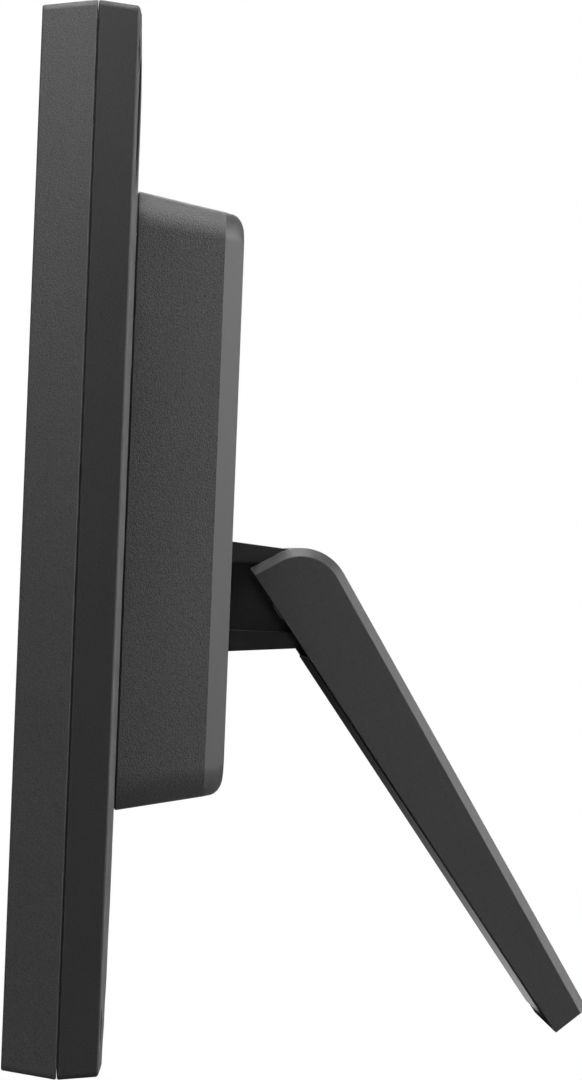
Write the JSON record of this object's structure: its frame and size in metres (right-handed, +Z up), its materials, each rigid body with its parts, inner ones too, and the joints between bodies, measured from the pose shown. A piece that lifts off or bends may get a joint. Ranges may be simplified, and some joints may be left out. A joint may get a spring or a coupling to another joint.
{
  "type": "digital photo frame",
  "caption": "Tabletop digital photo frame: flat framed display panel with a raised rear housing and a hinged fold-out rear leg that props it up.",
  "frame": {"origin": "centre of the footprint at floor level, under the panel's lower edge and the leg's tip", "axes": "+X across the panel, +Y to the rear on the leg's side, +Z up; the display faces -Y"},
  "size_m": [0.208, 0.099, 0.1679],
  "materials": {
    "bezel_plastic": "fine moulded grain, charcoal",
    "shell_plastic": "fine moulded grain, charcoal",
    "housing_plastic": "coarser moulded grain, charcoal",
    "leg_plastic": "fine moulded grain, charcoal",
    "gloss_black": "polished black",
    "hinge_black": "matte black",
    "button_plastic": "satin charcoal",
    "foot_rubber": "matte",
    "foam": "soft foam",
    "sheet_steel": "plain sheet",
    "screw_steel": "zinc plated",
    "screw_black": "black oxide",
    "panel_glass": "dark display glass, switched off",
    "film": "white diffuser",
    "acrylic": "clear acrylic",
    "led": "yellow phosphor",
    "circuit_board": "green solder mask",
    "chip": "moulded epoxy",
    "can_metal": "drawn can",
    "nylon": "natural nylon",
    "flex": "amber film",
    "ribbon": "white ribbon",
    "port_metal": "tin plated",
    "jack_plastic": "black",
    "cone_paper": "black cone",
    "magnet": "plated"
  },
  "bodies": {
    "panel": {"front_bezel": "bezel_plastic", "window_gasket": "foam", "lcd_front_frame": "sheet_steel", "lcd_glass": "panel_glass", "optical_films": "film", "light_guide": "acrylic", "led_strip": "led", "lcd_rear_tray": "sheet_steel", "lcd_driver_board": "circuit_board", "driver_chips": "chip", "lcd_flex_cable": "flex", "lcd_brackets": "sheet_steel", "bracket_screws": "screw_steel", "back_shell": "shell_plastic", "case_screws": "screw_black", "key_board": "circuit_board", "key_board_screws": "screw_steel", "key_switches": "can_metal", "key_cable": "ribbon", "rear_housing": "housing_plastic", "housing_screws": "screw_steel", "main_board": "circuit_board", "board_screws": "screw_steel", "processor": "chip", "memory_chip": "chip", "flash_chip": "chip", "power_inductors": "chip", "capacitors": "can_metal", "crystal": "can_metal", "cable_connectors": "nylon", "sd_card_slot": "port_metal", "usb_host_port": "port_metal", "usb_device_port": "port_metal", "dc_jack": "jack_plastic", "headphone_jack": "jack_plastic", "speaker_frames": "magnet", "speaker_cones": "cone_paper", "speaker_magnets": "magnet", "hinge_plate": "sheet_steel", "hinge_screws": "screw_steel", "hinge_block": "hinge_black"},
    "leg": {"leg_shell": "leg_plastic", "leg_cover": "gloss_black", "foot_pad": "foot_rubber", "hinge_pin": "screw_steel", "friction_washers": "sheet_steel"},
    "button_power_key": {"button_power": "button_plastic"},
    "button_menu_key": {"button_menu": "button_plastic"},
    "button_up_key": {"button_up": "button_plastic"},
    "button_down_key": {"button_down": "button_plastic"},
    "button_left_key": {"button_left": "button_plastic"},
    "button_right_key": {"button_right": "button_plastic"},
    "button_ok_key": {"button_ok": "button_plastic"}
  },
  "joints": [
    {"name": "leg_hinge", "type": "hinge", "parent": "panel", "child": "leg", "pos_m": [0, 0.00078, 0.07409], "axis": [1, 0, 0], "range_deg": [-35.62, 0]},
    {"name": "button_power_press", "type": "slide", "parent": "panel", "child": "button_power_key", "axis": [0, -0.9992, 0.0393], "range_m": [0, 0.00025], "stiffness_N_per_m": 400},
    {"name": "button_menu_press", "type": "slide", "parent": "panel", "child": "button_menu_key", "axis": [0, -0.9992, 0.0393], "range_m": [0, 0.00025], "stiffness_N_per_m": 400},
    {"name": "button_up_press", "type": "slide", "parent": "panel", "child": "button_up_key", "axis": [0, -0.9992, 0.0393], "range_m": [0, 0.00025], "stiffness_N_per_m": 400},
    {"name": "button_down_press", "type": "slide", "parent": "panel", "child": "button_down_key", "axis": [0, -0.9992, 0.0393], "range_m": [0, 0.00025], "stiffness_N_per_m": 400},
    {"name": "button_left_press", "type": "slide", "parent": "panel", "child": "button_left_key", "axis": [0, -0.9992, 0.0393], "range_m": [0, 0.00025], "stiffness_N_per_m": 400},
    {"name": "button_right_press", "type": "slide", "parent": "panel", "child": "button_right_key", "axis": [0, -0.9992, 0.0393], "range_m": [0, 0.00025], "stiffness_N_per_m": 400},
    {"name": "button_ok_press", "type": "slide", "parent": "panel", "child": "button_ok_key", "axis": [0, -0.9992, 0.0393], "range_m": [0, 0.00025], "stiffness_N_per_m": 400}
  ]
}
